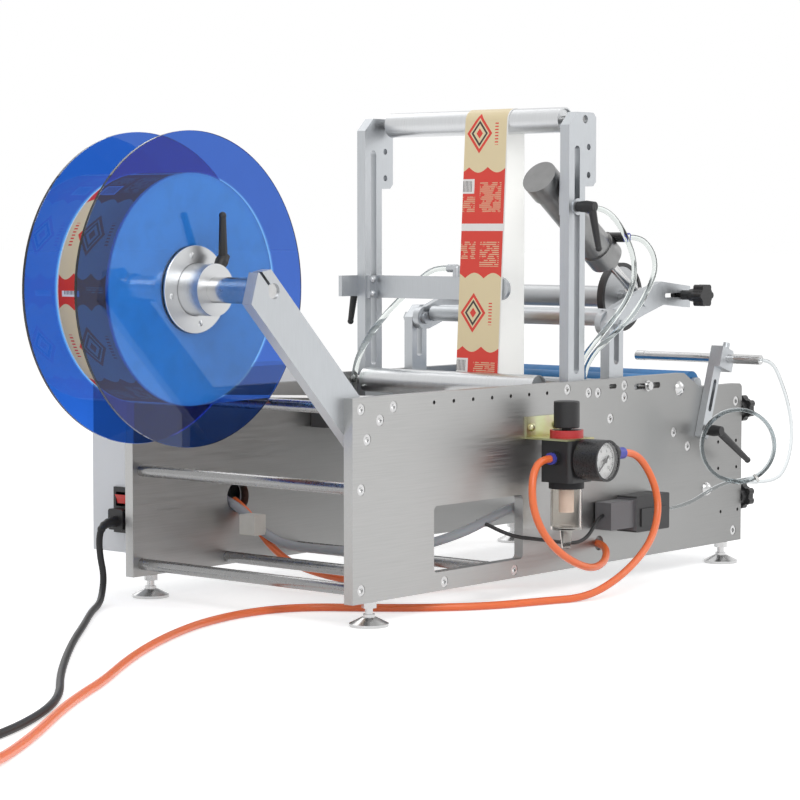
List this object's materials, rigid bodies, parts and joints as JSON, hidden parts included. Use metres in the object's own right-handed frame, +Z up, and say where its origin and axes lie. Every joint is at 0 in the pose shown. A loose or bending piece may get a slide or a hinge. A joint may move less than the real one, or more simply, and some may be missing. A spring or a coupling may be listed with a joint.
{
  "type": "bottle labelling machine",
  "caption": "Semi-automatic tabletop labeller for round bottles: side-plate frame, label reel on an arm, web rollers, pneumatic press arm, regulator, label sensor and hoses.",
  "frame": {"origin": "on the floor, under the middle of the levelling foot at the reel end of the regulator side", "axes": "+X along the side plates from the label reel towards the bottle rollers, +Y from the regulator side plate to the rear side plate, +Z up"},
  "size_m": [1.5124, 0.7149, 0.5179],
  "materials": {
    "brushed_plate": "brushed",
    "anodised_alu": "satin anodised",
    "turned_alu": "turned",
    "steel_rod": "polished",
    "blue_acrylic": "transparent",
    "label_print": "printed",
    "label_strip": "printed",
    "blue_rubber": "satin",
    "black_plastic": "matte",
    "black_metal": "satin",
    "cylinder_steel": "satin",
    "wheel": "rubber tyre on a steel disc",
    "zinc_yellow": "passivated",
    "clear_plastic": "clear",
    "needle_black": "satin",
    "grey_sheet": "powder coat",
    "red_plastic": "gloss",
    "valve_black": "matte",
    "orange_hose": "gloss",
    "clear_tube": "clear",
    "clear_fibre": "clear",
    "grey_sleeve": "braided"
  },
  "bodies": {
    "frame": {"air_tubes": "clear_tube", "control_box": "grey_sheet", "control_box_cover": "grey_sheet", "cross_rods": "steel_rod", "crossbar": "anodised_alu", "cylinder_bracket": "anodised_alu", "drive_motor": "black_metal", "fibre_cable": "clear_fibre", "fibre_coil": "clear_fibre", "front_side_plate": "brushed_plate", "hose_connector": "steel_rod", "label_web": "label_strip", "levelling_feet": "steel_rod", "machine_hose": "orange_hose", "mains_plug": "black_plastic", "peel_plate": "anodised_alu", "plate_screws": "steel_rod", "power_cord": "black_plastic", "power_cord_coil": "black_plastic", "power_inlet": "black_plastic", "pressure_gauge": "black_metal", "rear_side_plate": "brushed_plate", "reel_arm": "anodised_alu", "reel_shaft": "steel_rod", "regulator_body": "black_metal", "regulator_bowl": "clear_plastic", "regulator_bracket": "zinc_yellow", "sensor_amplifier": "black_plastic", "short_uprights": "anodised_alu", "solenoid_valve": "valve_black", "supply_hose": "orange_hose", "supply_hose_coil": "orange_hose", "tall_uprights": "anodised_alu", "wiring_loom": "grey_sleeve"},
    "reel": {"reel_discs": "blue_acrylic", "reel_hub": "turned_alu", "label_roll": "label_print"},
    "reel_lever": {"reel_clamp_lever": "black_plastic"},
    "top_roller": {"top_web_roller": "turned_alu"},
    "lower_roller": {"lower_web_roller": "turned_alu"},
    "traction": {"traction_roller": "turned_alu"},
    "nip": {"nip_roller": "turned_alu"},
    "rear_roller": {"rear_bottle_roller": "blue_rubber"},
    "cradle": {"roller_arms": "anodised_alu"},
    "front_roller": {"front_bottle_roller": "blue_rubber"},
    "press_arm": {"press_levers": "anodised_alu"},
    "press_wheel": {"press_wheel": "wheel"},
    "press_knob": {"press_knob": "black_plastic"},
    "cylinder": {"cylinder_body": "cylinder_steel"},
    "cylinder_rod": {"cylinder_rod": "steel_rod"},
    "cylinder_lever": {"cylinder_clamp_lever": "black_plastic"},
    "crossbar_lever": {"crossbar_clamp_lever": "black_plastic"},
    "regulator_knob": {"regulator_knob": "black_plastic"},
    "needle": {"gauge_needle": "needle_black"},
    "sensor_bar": {"sensor_bracket": "anodised_alu"},
    "sensor_rod": {"sensor_rod": "steel_rod"},
    "sensor_lever": {"sensor_clamp_lever": "black_plastic"},
    "upper_knob": {"upper_end_knob": "black_plastic"},
    "lower_knob": {"lower_end_knob": "black_plastic"},
    "rocker": {"rocker_switch": "red_plastic"}
  },
  "joints": [
    {"name": "reel_spin", "type": "hinge", "parent": "frame", "child": "reel", "pos_m": [-0.1275, 0.14735, 0.3286], "axis": [0, 1, 0], "continuous": true},
    {"name": "reel_lever_turn", "type": "hinge", "parent": "reel", "child": "reel_lever", "pos_m": [-0.1275, 0.0916, 0.3286], "axis": [0.5736, 0, 0.8192], "range_deg": [-25, 80]},
    {"name": "top_roller_spin", "type": "hinge", "parent": "frame", "child": "top_roller", "pos_m": [0.3603, 0.15435, 0.5035], "axis": [0, 1, 0], "continuous": true},
    {"name": "lower_roller_spin", "type": "hinge", "parent": "frame", "child": "lower_roller", "pos_m": [0.3152, 0.15435, 0.216], "axis": [0, 1, 0], "continuous": true},
    {"name": "traction_spin", "type": "hinge", "parent": "frame", "child": "traction", "pos_m": [0.5439, 0.15435, 0.1409], "axis": [0, 1, 0], "continuous": true},
    {"name": "nip_spin", "type": "hinge", "parent": "frame", "child": "nip", "pos_m": [0.516, 0.15435, 0.15833], "axis": [0, 1, 0], "continuous": true},
    {"name": "rear_roller_spin", "type": "hinge", "parent": "frame", "child": "rear_roller", "pos_m": [0.5267, 0.14935, 0.207], "axis": [0, 1, 0], "continuous": true},
    {"name": "cradle_swing", "type": "hinge", "parent": "frame", "child": "cradle", "pos_m": [0.5834, 0.14935, 0.0888], "axis": [0, 1, 0], "range_deg": [-6, 14]},
    {"name": "front_roller_spin", "type": "hinge", "parent": "cradle", "child": "front_roller", "pos_m": [0.5807, 0.14935, 0.209], "axis": [0, 1, 0], "continuous": true},
    {"name": "press_arm_swing", "type": "hinge", "parent": "frame", "child": "press_arm", "pos_m": [0.4197, 0.14935, 0.283], "axis": [0, 1, 0], "range_deg": [-8, 18]},
    {"name": "press_wheel_spin", "type": "hinge", "parent": "press_arm", "child": "press_wheel", "pos_m": [0.5147, 0.15435, 0.309], "axis": [0, 1, 0], "continuous": true},
    {"name": "press_knob_turn", "type": "hinge", "parent": "press_arm", "child": "press_knob", "pos_m": [0.5667, 0.00435, 0.311], "axis": [0, -1, 0], "range_deg": [-170, 170]},
    {"name": "cylinder_swing", "type": "hinge", "parent": "frame", "child": "cylinder", "pos_m": [0.3537, 0.04335, 0.424], "axis": [0, 1, 0], "range_deg": [-4, 7]},
    {"name": "cylinder_rod_slide", "type": "slide", "parent": "cylinder", "child": "cylinder_rod", "axis": [0.8137, 0, -0.5812], "range_m": [-0.011, 0.023]},
    {"name": "cylinder_lever_turn", "type": "hinge", "parent": "frame", "child": "cylinder_lever", "pos_m": [0.3461, -0.00565, 0.41], "axis": [0, -1, 0], "range_deg": [-50, 50]},
    {"name": "crossbar_lever_turn", "type": "hinge", "parent": "frame", "child": "crossbar_lever", "pos_m": [0.3381, 0.30935, 0.32075], "axis": [0, 1, 0], "range_deg": [-60, 60]},
    {"name": "regulator_knob_turn", "type": "hinge", "parent": "frame", "child": "regulator_knob", "pos_m": [0.2667, -0.04065, 0.195], "axis": [0, 0, 1], "range_deg": [-170, 170]},
    {"name": "gauge_needle_turn", "type": "hinge", "parent": "frame", "child": "needle", "pos_m": [0.2667, -0.08965, 0.1485], "axis": [0, 1, 0], "range_deg": [0, 264], "stiffness_Nm_per_rad": 0.0002},
    {"name": "sensor_tilt", "type": "hinge", "parent": "frame", "child": "sensor_bar", "pos_m": [0.5667, -0.01065, 0.158], "axis": [0, 1, 0], "range_deg": [-12, 20]},
    {"name": "sensor_slide", "type": "slide", "parent": "sensor_bar", "child": "sensor_rod", "axis": [0, 1, 0], "range_m": [0, 0.03]},
    {"name": "sensor_lever_turn", "type": "hinge", "parent": "frame", "child": "sensor_lever", "pos_m": [0.5667, -0.02565, 0.158], "axis": [0, -1, 0], "range_deg": [-30, 30]},
    {"name": "upper_knob_turn", "type": "hinge", "parent": "frame", "child": "upper_knob", "pos_m": [0.6637, 0, 0.177], "axis": [1, 0, 0], "range_deg": [-170, 170]},
    {"name": "lower_knob_turn", "type": "hinge", "parent": "frame", "child": "lower_knob", "pos_m": [0.6637, 0, 0.074], "axis": [1, 0, 0], "range_deg": [-170, 170]},
    {"name": "rocker_tilt", "type": "hinge", "parent": "frame", "child": "rocker", "pos_m": [-0.0103, 0.32435, 0.1035], "axis": [0, 1, 0], "range_deg": [0, 10]}
  ],
  "couplings": [
    {"joint": "top_roller_spin", "follows": "reel_spin", "ratio": -8.087},
    {"joint": "lower_roller_spin", "follows": "reel_spin", "ratio": 8.087},
    {"joint": "traction_spin", "follows": "reel_spin", "ratio": 6.2},
    {"joint": "nip_spin", "follows": "reel_spin", "ratio": -7.9714},
    {"joint": "cylinder_swing", "follows": "press_arm_swing", "ratio": 0.33},
    {"joint": "cylinder_rod_slide", "follows": "press_arm_swing", "m_per_rad": 0.0699}
  ]
}
